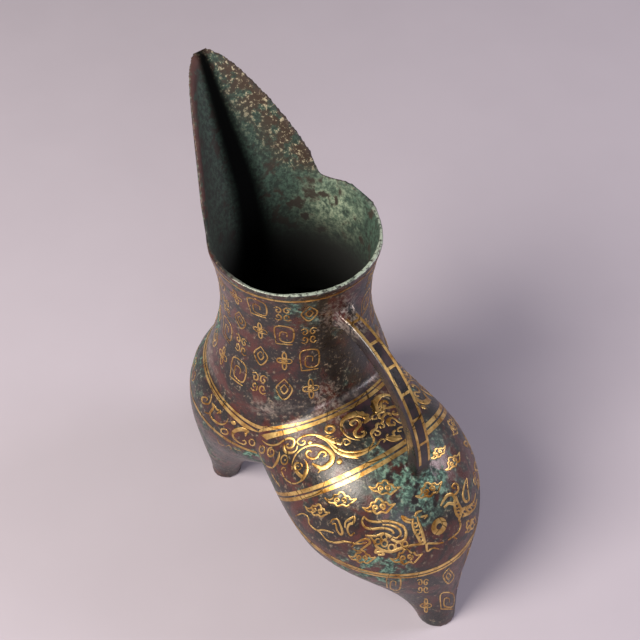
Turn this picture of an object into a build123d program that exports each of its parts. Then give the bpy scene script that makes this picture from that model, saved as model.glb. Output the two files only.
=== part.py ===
from build123d import *
from collections import namedtuple
from math import degrees
import os

# A cast bronze tripod ewer with inlaid gold lines. Sizes are in millimetres, angles in degrees.
# While it is drawn, the neck's axis is Z, the handle and rear leg lie toward +X, the spout toward -X.

# Neck: a waisted tube that flares to the rim above and to its foot below
rim_height = 205
rim_radius = 46
rim_flare = 14
waist_height = 160
waist_radius = 40.5
foot_height = 116
foot_radius = 49.5
foot_flare = 20
skirt_height = 74
neck_wall = 2.8
belly_mouth_height = 84

# Spout: one side of a leaning cone that stands on the front of the rim
spout_rise = 67
spout_lean = 32.5
spout_tip_radius = 14
spout_notch = 25
spout_edge_bulge = 6

# Pouch legs: oval sections from the root inside the belly down to the sole. Each leans by so many
# degrees for each millimetre of its height, so that the sole is level.
LegSection = namedtuple("LegSection", "reach height half_rise half_width")
leg_wall = 3.2

rear_lean_rate = 0.756
rear_root = LegSection(reach=0, height=100, half_rise=26, half_width=48.5)
rear_hip = LegSection(reach=20, height=93, half_rise=31, half_width=48)
rear_back = LegSection(reach=45, height=81, half_rise=43.5, half_width=51)
rear_belly = LegSection(reach=66, height=74, half_rise=50, half_width=53.5)
rear_thigh = LegSection(reach=85, height=61.5, half_rise=51.5, half_width=52)
rear_calf = LegSection(reach=99.5, height=46.5, half_rise=42.5, half_width=42.5)
rear_shin = LegSection(reach=112.5, height=30, half_rise=26, half_width=26)
rear_ankle = LegSection(reach=122.5, height=15, half_rise=15.5, half_width=15.5)
rear_sole = LegSection(reach=129, height=0, half_rise=11, half_width=11)

front_azimuth = 126
front_lean_rate = 0.522
front_root = LegSection(reach=5, height=92, half_rise=44, half_width=54)
front_belly = LegSection(reach=16, height=82, half_rise=45.5, half_width=50.5)
front_thigh = LegSection(reach=27.5, height=68, half_rise=41, half_width=44)
front_calf = LegSection(reach=34.5, height=52, half_rise=31, half_width=32.5)
front_shin = LegSection(reach=40, height=34, half_rise=20, half_width=20.5)
front_ankle = LegSection(reach=43.5, height=17, half_rise=12.5, half_width=12.5)
front_sole = LegSection(reach=45, height=0, half_rise=9, half_width=9)

# Handle: a quarter-round strap let into the neck above and into the rear leg below
handle_top = 180.5
handle_reach = 108.5
handle_arch = 63
handle_width = 9.6
handle_thickness = 9
handle_corner = 1.2
handle_flare = 5
handle_seat = 1
handle_drop = 24

# Gold inlay: strips hammered into grooves, flush with the bronze
inlay_depth = 0.6
inlay_clearance = 0.05
line_width = 2
fine_line_width = 1.3
line_gap = 1
rim_line_height = 200.5
collar_radius = 51.4
collar_offset = 1
collar_floor = 99
front_collar_width = 0.9
front_collar_fine_width = 0.6
front_collar_gap = 0.5
InlayPlane = namedtuple("InlayPlane", "reach height lean")
rear_band = InlayPlane(reach=66, height=88.7, lean=48)
rear_hem = InlayPlane(reach=85, height=64, lean=0)
front_hem = InlayPlane(reach=58, height=88, lean=10)
rail_spacing = 6
rail_width = 1.4
rail_start = 4
rail_sweep = 85
rung_count = 6
rung_width = 1.5
rung_start = 17
rung_pitch = 13.7
disc_azimuth = -5
disc_elevation = 33
disc_radius = 4.8
disc_hole_radius = 1.8

REACH_OF_TOOLS = 400


def leg_plane(section, azimuth, lean):
    """Plane of a leg section: its X points to the side, its Y up and outward."""
    outward = Vector(1, 0, 0).rotate(Axis.Z, azimuth)
    side = Vector(0, 1, 0).rotate(Axis.Z, azimuth)
    rise = outward.rotate(Axis((0, 0, 0), side), -lean)
    origin = outward * section.reach + Vector(0, 0, section.height)
    return Plane(origin, x_dir=side, z_dir=side.cross(rise))


def leg_solid(sections, azimuth, lean_rate, inset=0):
    """Smooth solid through the sections, which turn level toward the sole."""
    faces = []
    for section in sections:
        plane = leg_plane(section, azimuth, lean_rate * section.height)
        half_width = section.half_width - inset
        half_rise = section.half_rise - inset
        upper = Edge.make_ellipse(half_width, half_rise, plane, 0, 180)
        lower = Edge.make_ellipse(half_width, half_rise, plane, 180, 360)
        faces.append(Face(Wire([upper, lower])))
    return loft(faces)


haunch_sections = [rear_root, rear_hip, rear_back, rear_belly, rear_thigh, rear_calf]
shank_sections = [rear_belly, rear_thigh, rear_calf, rear_shin, rear_ankle, rear_sole]
front_sections = [
    front_root, front_belly, front_thigh, front_calf, front_shin, front_ankle, front_sole,
]


def rear_solid(inset=0, shank_run=shank_sections):
    """Haunch and shank, lofted through shared sections and joined at the thigh."""
    past_thigh = slab(leg_plane(rear_thigh, 0, rear_lean_rate * rear_thigh.height), 0, REACH_OF_TOOLS)
    haunch = leg_solid(haunch_sections, 0, rear_lean_rate, inset) - past_thigh
    shank = leg_solid(shank_run, 0, rear_lean_rate, inset) & past_thigh
    return haunch + shank


def left_solid(inset=0, run=front_sections):
    return leg_solid(run, -front_azimuth, front_lean_rate, inset)


def neck_solid(inset=0):
    """The neck as a filled turning, drawn in by the inset."""
    rim = (rim_radius - inset, rim_height)
    waist = (waist_radius - inset, waist_height)
    foot = (foot_radius - inset, foot_height)
    down_from_rim = Vector(0, -1).rotate(Axis.Z, -rim_flare)
    down_to_foot = Vector(0, -1).rotate(Axis.Z, foot_flare)
    side = Spline(rim, waist, foot, tangents=(down_from_rim, down_to_foot))
    ends = Polyline(foot, (foot_radius - inset, skirt_height), (0, skirt_height), (0, rim_height), rim)
    return revolve(Plane.XZ * make_face([side, ends]), Axis.Z)


def spout_cone(inset=0):
    """Leaning cone from the rim circle to the tip circle."""
    tip_x = -(rim_radius + spout_lean - spout_tip_radius)
    base = Pos(0, 0, rim_height) * Circle(rim_radius - inset)
    tip = Pos(tip_x, 0, rim_height + spout_rise) * Circle(spout_tip_radius - inset)
    return loft([base, tip], ruled=True)


def spout_side():
    """Prism in front of the spout's free edge, which bows up from the notch to the tip."""
    notch = Vector(-spout_notch, rim_height)
    tip = Vector(-rim_radius - spout_lean, rim_height + spout_rise)
    crown = (notch + tip) / 2 + (tip - notch).normalized().rotate(Axis.Z, -90) * spout_edge_bulge
    edge = ThreePointArc(notch, crown, tip)
    front = -rim_radius - 2 * spout_lean
    rest = Polyline(tip, (front, tip.Y), (front, notch.Y), notch)
    return extrude(Plane.XZ * make_face([edge, rest]), rim_radius, both=True)


handle_centre = Vector(handle_reach - handle_arch, 0, handle_top - handle_arch)
handle_axis = Axis(handle_centre, (0, -1, 0))


def handle_section(thickness, width, grow):
    corner = handle_corner + grow
    return RectangleRounded(thickness + 2 * grow, width + 2 * grow, corner)


def handle_solid(grow=0):
    """Strap with its flared root and its straight lower end, before they are let in."""
    mid_line = handle_arch - handle_thickness / 2
    low_end = Pos(handle_centre + Vector(mid_line, 0, 0))
    strap_section = handle_section(handle_thickness, handle_width, grow)
    arch = revolve(low_end * strap_section, handle_axis, 90)
    drop = extrude(low_end * strap_section, -handle_drop)
    top_plane = Plane(handle_centre + Vector(0, 0, mid_line), x_dir=(0, 0, 1), z_dir=(-1, 0, 0))
    root_length = handle_centre.X - waist_radius + neck_wall
    root_section = handle_section(handle_thickness + handle_flare, handle_width + handle_flare, grow)
    root = loft([top_plane * strap_section, top_plane.offset(root_length) * root_section])
    return arch + drop + root


def slab(plane, low, high):
    """Endless plate between two distances along a plane's normal."""
    size = REACH_OF_TOOLS
    return plane * Pos(0, 0, (low + high) / 2) * Box(size, size, high - low)


def collar_zone(low, high):
    """Tube round the neck's foot, over the upper sides of the legs and not down their creases."""
    height = rim_height - collar_floor
    tube = Cylinder(collar_radius + high, height) - Cylinder(collar_radius + low, height)
    return Pos(collar_offset, 0, collar_floor + height / 2) * tube


def rear_band_zone(low, high):
    """Leaning plate across the rear leg, which ends above the hem lines."""
    plate = slab(leg_plane(rear_band, 0, rear_band.lean), low, high)
    return plate - rear_hem_zone(-line_gap, REACH_OF_TOOLS)


def rear_hem_zone(low, high):
    return slab(leg_plane(rear_hem, 0, rear_hem.lean), low, high)


def front_hem_zone(low, high):
    return slab(leg_plane(front_hem, -front_azimuth, front_hem.lean), low, high)


def rim_zone(low, high):
    return slab(Plane((0, 0, rim_line_height), z_dir=(0, 0, -1)), low, high)


def disc_zone(low, high):
    """Tube that stands out of the rear leg's thigh."""
    direction = Vector(1, 0, 0).rotate(Axis.Y, -disc_elevation).rotate(Axis.Z, disc_azimuth)
    plane = Plane((rear_thigh.reach, 0, rear_thigh.height), z_dir=direction)
    tube = Circle(disc_hole_radius + high) - Circle(disc_hole_radius + low)
    return extrude(plane * tube, 2 * rear_thigh.half_width)


def inlay(lines, solid, cover):
    """Strips flush with a surface, and the grooves that they lie in, where no neighbour covers it."""
    outer = solid()
    core = solid(inlay_depth)
    groove_core = solid(inlay_depth + inlay_clearance)
    strips = {}
    grooves = []
    for name, zone, low, width in lines:
        strips[name] = (outer & zone(low, low + width)) - core - cover
        grooves.append(zone(low - inlay_clearance, low + width + inlay_clearance) - groove_core - cover)
    return strips, grooves


def arch_strip(centre_y, width, start, sweep, grow=0):
    """Length of the strap's outer face, as deep as the inlay."""
    depth = inlay_depth + 2 * grow
    centre = handle_centre + Vector(handle_arch + grow - depth / 2, centre_y, 0)
    section = Pos(centre) * Rectangle(depth, width + 2 * grow)
    grow_angle = degrees(grow / handle_arch)
    return revolve(section.rotate(handle_axis, start - grow_angle), handle_axis, sweep + 2 * grow_angle)


def handle_rail(side, grow=0):
    return arch_strip(side * rail_spacing / 2, rail_width, rail_start, rail_sweep, grow)


def handle_rung(index, grow=0):
    width = rail_spacing - rail_width - 2 * inlay_clearance
    sweep = degrees(rung_width / handle_arch)
    return arch_strip(0, width, rung_start + index * rung_pitch - sweep / 2, sweep, grow)


# Bronze shells: the legs meet along creases, and one hollow runs through neck and legs
left_half = Pos(0, -REACH_OF_TOOLS / 2, 0) * Box(REACH_OF_TOOLS, REACH_OF_TOOLS, REACH_OF_TOOLS)
right_half = mirror(left_half, Plane.XZ)
rear_outer = rear_solid()
left_outer = left_solid() & left_half
right_outer = mirror(left_outer, Plane.XZ)
rear_cavity = rear_solid(leg_wall, shank_sections[:-1])
left_cavity = left_solid(leg_wall, front_sections[:-1]) & left_half
right_cavity = mirror(left_cavity, Plane.XZ)
mouth_length = rim_height - belly_mouth_height
mouth_centre = Pos(0, 0, belly_mouth_height + mouth_length / 2)
belly_mouth = mouth_centre * Cylinder(foot_radius - neck_wall, mouth_length)
hollow = rear_cavity + left_cavity + right_cavity + belly_mouth

neck = neck_solid() - neck_solid(neck_wall) - rear_outer - left_outer - right_outer
spout = (spout_cone() - spout_cone(neck_wall)) & spout_side()
rear_leg = rear_outer - hollow
left_leg = left_outer - rear_outer - hollow

# Handle, let into pockets in the neck and the rear leg
handle = handle_solid() - neck_solid(handle_seat) - rear_solid(handle_seat)
handle_pocket = handle_solid(inlay_clearance)
neck -= handle_pocket - neck_solid(handle_seat + inlay_clearance)
rear_leg -= handle_pocket - rear_solid(handle_seat + inlay_clearance)

# Gold lines on the neck and the legs
rim_lines = [("rim_line", rim_zone, 0, fine_line_width)]
rear_lines = [
    ("rear_collar_upper_line", collar_zone, 0, fine_line_width),
    ("rear_collar_lower_line", collar_zone, fine_line_width + line_gap, line_width),
    ("rear_band_upper_line", rear_band_zone, -line_gap / 2 - line_width, line_width),
    ("rear_band_lower_line", rear_band_zone, line_gap / 2, line_width),
    ("rear_hem_line", rear_hem_zone, 0, line_width),
    ("rear_hem_fine_line", rear_hem_zone, line_width + line_gap, fine_line_width),
    ("gold_disc", disc_zone, 0, disc_radius - disc_hole_radius),
]
left_lines = [
    ("left_collar_upper_line", collar_zone, 0, front_collar_fine_width),
    ("left_collar_lower_line", collar_zone, front_collar_fine_width + front_collar_gap, front_collar_width),
    ("left_hem_line", front_hem_zone, 0, line_width),
]
rim_strips, rim_grooves = inlay(rim_lines, neck_solid, Part())
rear_strips, rear_grooves = inlay(rear_lines, rear_solid, left_outer + right_outer)
left_strips, left_grooves = inlay(left_lines, left_solid, rear_outer + right_half)
neck -= rim_grooves
rear_leg -= rear_grooves
left_leg -= left_grooves

# The rear leg's foot is a casting of its own: the hem line covers its seam
below_seam = rear_hem_zone(line_width / 2, REACH_OF_TOOLS)

# Gold ladder on the handle
handle_left_rail = handle_rail(-1)
handle_right_rail = handle_rail(1)
rungs = [handle_rung(index) for index in range(rung_count)]
handle -= [handle_rail(side, inlay_clearance) for side in (-1, 1)]
handle -= [handle_rung(index, inlay_clearance) for index in range(rung_count)]

nodes = {
    "neck": neck,
    "spout": spout,
    "rear_leg": rear_leg - below_seam,
    "rear_leg_foot": rear_leg & below_seam,
    "left_leg": left_leg,
    "right_leg": mirror(left_leg, Plane.XZ),
    "handle": handle,
    "handle_left_rail": handle_left_rail,
    "handle_right_rail": handle_right_rail,
    "handle_rungs": Compound(rungs),
    **rim_strips,
    **rear_strips,
    **left_strips,
}
for name, strip in left_strips.items():
    nodes[name.replace("left", "right")] = mirror(strip, Plane.XZ)

# The origin goes to the floor below the middle of the overall length
boxes = [shape.bounding_box() for shape in nodes.values()]
low_x = min(box.min.X for box in boxes)
high_x = max(box.max.X for box in boxes)
to_middle = Pos(-(low_x + high_x) / 2, 0, 0)

os.makedirs("parts", exist_ok=True)
for name, shape in nodes.items():
    export_step(to_middle * shape, f"parts/{name}.step")
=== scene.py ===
import math
import bmesh
import bpy
import numpy as np
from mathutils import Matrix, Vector
from mathutils.bvhtree import BVHTree
from mathutils.kdtree import KDTree


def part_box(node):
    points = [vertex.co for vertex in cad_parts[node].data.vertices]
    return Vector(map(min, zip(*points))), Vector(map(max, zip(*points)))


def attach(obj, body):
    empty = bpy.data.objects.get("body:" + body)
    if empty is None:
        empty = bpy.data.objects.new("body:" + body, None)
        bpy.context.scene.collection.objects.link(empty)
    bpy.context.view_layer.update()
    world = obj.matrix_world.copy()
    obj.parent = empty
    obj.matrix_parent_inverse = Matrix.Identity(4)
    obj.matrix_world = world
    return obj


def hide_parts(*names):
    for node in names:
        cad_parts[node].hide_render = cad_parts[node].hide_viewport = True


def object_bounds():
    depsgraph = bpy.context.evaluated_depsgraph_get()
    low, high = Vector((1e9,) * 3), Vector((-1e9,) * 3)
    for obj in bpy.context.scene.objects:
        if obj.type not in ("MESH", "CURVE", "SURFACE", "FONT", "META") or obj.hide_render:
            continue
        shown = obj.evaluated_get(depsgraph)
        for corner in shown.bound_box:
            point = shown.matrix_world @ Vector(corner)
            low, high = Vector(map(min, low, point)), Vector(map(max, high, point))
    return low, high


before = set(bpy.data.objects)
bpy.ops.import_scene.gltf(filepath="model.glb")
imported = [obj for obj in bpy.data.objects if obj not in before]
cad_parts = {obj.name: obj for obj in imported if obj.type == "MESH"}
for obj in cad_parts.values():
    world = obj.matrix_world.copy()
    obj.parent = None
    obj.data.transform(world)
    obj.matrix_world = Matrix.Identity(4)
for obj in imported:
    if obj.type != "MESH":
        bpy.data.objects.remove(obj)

cad_low, cad_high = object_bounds()
MM = 0.001

# Vessel body: neck, spout, three hollow pouch legs and strap handle, cast in bronze as one piece.
# The joints between them are soft hollows, as the wax of the model was smoothed with a wet finger,
# and centuries in the ground left red and green crusts over the dark skin.
BODY_NODES = ["neck", "spout", "rear_leg", "rear_leg_foot", "left_leg", "right_leg", "handle"]
GOLD_NODES = sorted(set(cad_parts) - set(BODY_NODES))
NECK_LOW, NECK_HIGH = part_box("neck")
NECK_AXIS_X = (NECK_LOW.x + NECK_HIGH.x) / 2
RIM_Z = NECK_HIGH.z
NECK_ROOT_RADIUS = 48.5 * MM
NECK_ROOT_Z = 113 * MM
NECK_ROOT_HOLLOW = (10, 4)
NOTCH_X = 25 * MM
NOTCH_Y = 38 * MM
NOTCH_HOLLOW = (16, 6)
SEWING_REACH = 0.002 * MM
BODY_GRAIN = 1.0 * MM
BODY_SMOOTHING = (0.55, -0.57)
BODY_ROUNDS = 14
HOLLOW_SMOOTHING = 0.5
HOLLOW_ROUNDS = 32
BODY_THINNING = 0.36
SPOUT_ABOVE_RIM = (-4, 6)
SPOUT_SMOOTHING = (0.55, -0.58)
SPOUT_ROUNDS = 16
INLAY_PROUD = 0.12 * MM


def merged_copy(names, piece):
    """Copies of CAD nodes as one mesh object, with the loose triangles sewn together."""
    sewn = bmesh.new()
    for name in names:
        sewn.from_mesh(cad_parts[name].data)
    bmesh.ops.remove_doubles(sewn, verts=sewn.verts, dist=SEWING_REACH)
    mesh = bpy.data.meshes.new(piece)
    sewn.to_mesh(mesh)
    sewn.free()
    copy = bpy.data.objects.new(piece, mesh)
    bpy.context.scene.collection.objects.link(copy)
    return copy


def settle(piece):
    """Turns a piece and its modifiers into a plain mesh."""
    graph = bpy.context.evaluated_depsgraph_get()
    mesh = bpy.data.meshes.new_from_object(piece.evaluated_get(graph), depsgraph=graph)
    piece.modifiers.clear()
    piece.data = mesh


def positions(mesh):
    """Places of a mesh's points, one row each."""
    flat = np.empty(len(mesh.vertices) * 3, np.float32)
    mesh.vertices.foreach_get("co", flat)
    return flat.reshape(-1, 3).astype(float)


def normals(mesh):
    """The ways a mesh faces at its points, one row each."""
    flat = np.empty(len(mesh.vertices) * 3, np.float32)
    mesh.vertex_normals.foreach_get("vector", flat)
    return flat.reshape(-1, 3).astype(float)


def edge_ends(mesh):
    """First and second point of each edge."""
    ends = np.empty(len(mesh.edges) * 2, np.int32)
    mesh.edges.foreach_get("vertices", ends)
    return ends[0::2], ends[1::2]


def smooth_step(low, high, values):
    """0 at the low value and beyond it, 1 at the high one, with a soft rise between."""
    share = np.clip((values - low) / (high - low), 0, 1)
    return share * share * (3 - 2 * share)


def fade(values, none, full):
    """0 at the first size in mm and beyond it, 1 at the second, with a soft rise between."""
    return smooth_step(none * MM, full * MM, values)


def relax(mesh, *shares, rounds):
    """Draws each point toward the middle of its neighbours by each share in turn.

    A share below 0 pushes the point back, so that bumps go and the piece doesn't shrink."""
    first, second = edge_ends(mesh)
    count = np.bincount(np.append(first, second), minlength=len(mesh.vertices))
    points = positions(mesh)
    for share in shares * rounds:
        total = np.empty_like(points)
        for axis in range(3):
            total[:, axis] = np.bincount(first, points[second, axis], len(points))
            total[:, axis] += np.bincount(second, points[first, axis], len(points))
        points += np.broadcast_to(share, len(points))[:, None] * (total / count[:, None] - points)
    mesh.vertices.foreach_set("co", points.astype(np.float32).ravel())
    mesh.update()


body = merged_copy(BODY_NODES + GOLD_NODES, "vessel_body")
casting = body.modifiers.new("casting", "REMESH")
casting.mode = "VOXEL"
casting.voxel_size = BODY_GRAIN
settle(body)

spots = positions(body.data)
radius = np.hypot(spots[:, 0] - NECK_AXIS_X, spots[:, 1])
from_root = np.hypot(radius - NECK_ROOT_RADIUS, spots[:, 2] - NECK_ROOT_Z)
from_notch = np.linalg.norm(np.abs(spots - [NECK_AXIS_X, 0, 0]) - [NOTCH_X, NOTCH_Y, RIM_Z], axis=1)
hollow = np.maximum(fade(from_root, *NECK_ROOT_HOLLOW), fade(from_notch, *NOTCH_HOLLOW))
relax(body.data, *BODY_SMOOTHING, rounds=BODY_ROUNDS)
relax(body.data, HOLLOW_SMOOTHING * hollow, rounds=HOLLOW_ROUNDS)
thinning = body.modifiers.new("thinning", "DECIMATE")
thinning.ratio = BODY_THINNING
settle(body)
on_spout = fade(positions(body.data)[:, 2] - RIM_Z, *SPOUT_ABOVE_RIM)
relax(body.data, *[share * on_spout for share in SPOUT_SMOOTHING], rounds=SPOUT_ROUNDS)
points = positions(body.data) - INLAY_PROUD * normals(body.data)
body.data.vertices.foreach_set("co", points.astype(np.float32).ravel())
body.data.shade_smooth()

# Where the skin differs: the green inside, the worn lips, crusts, rubbed spots and the dark strap, with
# painted shade deep in the neck and along the pouring channel, and a pale bloom with painted light on the
# inner back wall. A pair of sizes in mm says where a skin fades out and where it is full.
NECK_INSIDE_HEIGHT = (88, 98)
NECK_INSIDE_RADIUS = (58, 54)
INSIDE_FACING = (0.15, -0.15)
POUCH_FLOOR_HEIGHT = (75, 65)
POUCH_FLOOR_FACING = (0.7, 0.9)
STRAP_RADIUS = (46, 52)
STRAP_HALF_WIDTH = (10, 8)
STRAP_ABOVE_FOOT = (4, 10)
LIP_ABOVE_RIM = (-4, -2)
LIP_SHARPNESS = (0.08, 0.22)
LIP_LEAST = 0.5
RIM_HALF_HEIGHT = (1.8, 0.8)
RIM_FACING = (0.1, 0.5)
RIM_CRUST_X = (2, 26)
DEPTH_SHADE_ABOVE_RIM = (-4, -48)
STAIN_ABOVE_RIM = (-2, 8)
STAIN_NEAR_SIDE = 7
STAIN_FAR_SIDE = 26
STAIN_FULL = 3
CHANNEL_HEIGHTS = [90 * MM, RIM_Z, cad_high.z]
CHANNEL_HALF_WIDTHS = [26 * MM, 15 * MM, 4 * MM]
CHANNEL_SPREAD = (1.0, 0.25)
CHANNEL_X = (10, -15)
POLISH_RISE = 3 * MM
POLISH_REACH = (8, 2)
HANDLE_FOOT = (72, 0, 112)
HANDLE_FOOT_CRUST = (36, 8)
DISC_SIDE = (84, -34, 66)
DISC_SIDE_CRUST = (24, 8)
DISC_SIDE_SHARE = 0.8
HANDLE_ROOT = (15, -4, 182)
HANDLE_ROOT_RUBBED = (17, 5)
NECK_SIDE = (19, -17, 126)
NECK_SIDE_RUBBED = (15, 3)
BACK_WALL = (-46, 40, 186)
BACK_WALL_BLOOM_AND_LIGHT = (30, 4)
NO_LENGTH = 1e-9


def sharpness(mesh):
    """How sharply the surface turns at each point: how far its neighbours lie below it, per length."""
    first, second = edge_ends(mesh)
    places, ways = positions(mesh), normals(mesh)
    step = places[second] - places[first]
    length = np.linalg.norm(step, axis=1)
    drop = np.bincount(first, -(step * ways[first]).sum(1) / length, len(places))
    drop += np.bincount(second, (step * ways[second]).sum(1) / length, len(places))
    return drop / np.bincount(np.append(first, second), minlength=len(places))


points = positions(body.data)
facing = normals(body.data)
from_middle, across, height = points[:, 0] - NECK_AXIS_X, points[:, 1], points[:, 2]
above_rim = height - RIM_Z
from_axis = np.hypot(from_middle, across)
outward = np.stack([from_middle, across], 1) / (from_axis[:, None] + NO_LENGTH)


def near(place, none, full):
    """1 within the full distance in mm of a place in mm, falling to 0 at the other distance."""
    return fade(np.linalg.norm(points - np.multiply(place, MM), axis=1), none, full)


in_neck = fade(height, *NECK_INSIDE_HEIGHT) * fade(from_axis - np.maximum(above_rim, 0), *NECK_INSIDE_RADIUS)
in_neck *= smooth_step(*INSIDE_FACING, (facing[:, :2] * outward).sum(1))
on_pouch_floor = smooth_step(*POUCH_FLOOR_FACING, facing[:, 2]) * fade(height, *POUCH_FLOOR_HEIGHT)
inside = np.maximum(in_neck, on_pouch_floor)
on_strap = fade(from_axis, *STRAP_RADIUS) * fade(np.abs(across), *STRAP_HALF_WIDTH)
lip = smooth_step(*LIP_SHARPNESS, sharpness(body.data)) * fade(above_rim, *LIP_ABOVE_RIM)
lips = KDTree(len(points))
for index in np.flatnonzero(lip > LIP_LEAST):
    lips.insert(points[index], index)
lips.balance()
from_lip = np.array([lips.find(point)[2] for point in points])
stain_reach = np.where(across > 0, STAIN_FAR_SIDE, STAIN_NEAR_SIDE)
channel_half = np.interp(height, CHANNEL_HEIGHTS, CHANNEL_HALF_WIDTHS)
from_polish = np.hypot(from_axis - NECK_ROOT_RADIUS, height - NECK_ROOT_Z - POLISH_RISE)
skins = {
    "inside": inside,
    "lip": lip,
    "rim": fade(np.abs(above_rim), *RIM_HALF_HEIGHT) * smooth_step(*RIM_FACING, facing[:, 2])
    * fade(from_middle, *RIM_CRUST_X),
    # Painted shade: the inside darkens with depth below the rim, where shade falls.
    "painted_depth_shade": inside * fade(above_rim, *DEPTH_SHADE_ABOVE_RIM),
    "near_lip": fade(from_lip, stain_reach, STAIN_FULL) * fade(above_rim, *STAIN_ABOVE_RIM),
    # Painted shade: the pouring channel inside is painted near black, as the shade that falls along it.
    "painted_channel_shade": inside * smooth_step(*CHANNEL_SPREAD, np.abs(across) / channel_half)
    * fade(from_middle, *CHANNEL_X),
    "crust": np.maximum(near(HANDLE_FOOT, *HANDLE_FOOT_CRUST),
                        DISC_SIDE_SHARE * near(DISC_SIDE, *DISC_SIDE_CRUST)),
    "rubbed": np.maximum(near(HANDLE_ROOT, *HANDLE_ROOT_RUBBED), near(NECK_SIDE, *NECK_SIDE_RUBBED)),
    "polish": fade(from_polish, *POLISH_REACH) * (1 - inside),
    "strap": on_strap * fade(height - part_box("handle")[0].z, *STRAP_ABOVE_FOOT),
    # Pale green on the inner back wall: partly verdigris bloom, partly painted light where the wall is lit.
    "bloom_and_painted_light": near(BACK_WALL, *BACK_WALL_BLOOM_AND_LIGHT) * inside,
}
for skin, amount in skins.items():
    layer = body.data.attributes.new(skin, "FLOAT", "POINT")
    layer.data.foreach_set("value", amount.astype(np.float32))

# Patina of the bronze. Each grain has its size in mm, detail, roughness and distortion.
GRAINS = {
    "patches": (22, 6, 0.6, 0.6),
    "clouding": (38, 4, 0.6, 0),
    "mottle": (7, 8, 0.6, 0),
    "specks": (2.2, 5, 0.7, 0),
}
# A spread takes a grain, or the place across the vessel, and says where it begins and where it is full.
SPREADS = {
    "reddened": ("patches", 0.43, 0.58),
    "tarnished": ("mottle", 0.47, 0.6),
    "pale_specks": ("specks", 0.55, 0.64),
    "pale_ground": ("mottle", 0.38, 0.56),
    "strap_tone": ("mottle", 0.4, 0.62),
    "green_clouds": ("clouding", 0.54, 0.7),
    "crust_edge": ("mottle", 0.43, 0.55),
    "crust_tone": ("specks", 0.42, 0.62),
    "inside_tone": ("specks", 0.36, 0.68),
    "bloom_and_light_edge": ("mottle", 0.36, 0.6),
    "bloom_and_light_tone": ("specks", 0.4, 0.62),
    "brown_mottle": ("mottle", 0.5, 0.6),
    "brown_patches": ("patches", 0.44, 0.56),
    "far_half": ("side", -6 * MM, 6 * MM),
    "near_half": ("side", 5 * MM, -25 * MM),
    "stain_edge": ("mottle", 0.4, 0.52),
    "lime_specks": ("specks", 0.54, 0.62),
    "lip_tone": ("specks", 0.4, 0.6),
    "rim_specks": ("specks", 0.36, 0.52),
    "rim_patches": ("patches", 0.36, 0.5),
    "rubbed_specks": ("specks", 0.46, 0.57),
    "polish_specks": ("specks", 0.36, 0.64),
    "polish_clouds": ("clouding", 0.42, 0.62),
}
# Where skins and spreads meet: how two of them, or one and a plain share, join to one.
MEETINGS = {
    "pale_spots": ("MULTIPLY", "pale_specks", "pale_ground"),
    "crusted": ("MAXIMUM", "crust", "green_clouds"),
    "crust_spots": ("MULTIPLY", "crusted", "crust_edge"),
    "off_strap": ("SUBTRACT", 1.0, "strap"),
    "green": ("MULTIPLY", "crust_spots", "off_strap"),
    "bloom_and_light_spots": ("MULTIPLY", "bloom_and_painted_light", "bloom_and_light_edge"),
    "brown_spots": ("MULTIPLY", "brown_mottle", "brown_patches"),
    # Painted shade on the near wall of the inside, at most a share of 0.6.
    "near_shade": ("MULTIPLY", "near_half", 0.6),
    "lip_stain": ("MULTIPLY", "near_lip", "stain_edge"),
    "lip_lime": ("MULTIPLY", "near_lip", "lime_specks"),
    "lime": ("MULTIPLY", "lip_lime", "far_half"),
    "rim_spots": ("MULTIPLY", "rim", "rim_specks"),
    "rim_crust": ("MULTIPLY", "rim_spots", "rim_patches"),
    "rubbed_spots": ("MULTIPLY", "rubbed", "rubbed_specks"),
    "polish_spots": ("MULTIPLY", "polish", "polish_specks"),
    "polished": ("MULTIPLY", "polish_spots", "polish_clouds"),
    "worn": ("MAXIMUM", "rubbed_spots", "polished"),
    "dull": ("MAXIMUM", "green", "inside"),
}
# Colours from the metal up: where each layer lies, what is under it and what it is.
LAYERS = {
    "red_skin": ("reddened", "#120b07", "#4a190d"),
    "dark_skin": ("tarnished", "red_skin", "#110d09"),
    "flecked_skin": ("pale_spots", "dark_skin", "#84745f"),
    "strap_skin": ("strap_tone", "#0e090b", "#2b141b"),
    "outer_skin": ("strap", "flecked_skin", "strap_skin"),
    "malachite": ("crust_tone", "#1c3a31", "#7aa590"),
    "crusted_skin": ("green", "outer_skin", "malachite"),
    "inner_green": ("inside_tone", "#1c2b23", "#4a6656"),
    # Partly pale verdigris, partly painted light on the lit back wall inside.
    "pale_green_and_painted_light": ("bloom_and_light_tone", "#66806a", "#b9c8aa"),
    "green_with_bloom_and_light": ("bloom_and_light_spots", "inner_green", "pale_green_and_painted_light"),
    "stained_green": ("brown_spots", "green_with_bloom_and_light", "#30271c"),
    # Painted shade: the inside's near wall darkened toward #1e1612.
    "shaded_green": ("near_shade", "stained_green", "#1e1612"),
    "edge_brown": ("far_half", "#42201a", "#3b2a1c"),
    "edged_green": ("lip_stain", "shaded_green", "edge_brown"),
    "limed_green": ("lime", "edged_green", "#b9ae90"),
    # Painted shade deep inside the neck: near black.
    "green_with_painted_depth_shade": ("painted_depth_shade", "limed_green", "#070b09"),
    # Painted shade along the pouring channel: near black.
    "inner_skin": ("painted_channel_shade", "green_with_painted_depth_shade", "#020303"),
    "whole_skin": ("inside", "crusted_skin", "inner_skin"),
    "lip_brown": ("lip_tone", "#1c1210", "#5d4434"),
    "lipped_skin": ("lip", "whole_skin", "lip_brown"),
    "rimmed_skin": ("rim_crust", "lipped_skin", "#aab8a8"),
    "worn_skin": ("worn", "rimmed_skin", "#a99d92"),
}
SKIN_METALLIC = 0.15
WORN_METALLIC = 0.9
GLOSS_MOTTLE = (0.3, 0.7)
GLOSSY_ROUGHNESS = 0.24
SATIN_ROUGHNESS = 0.4
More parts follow.
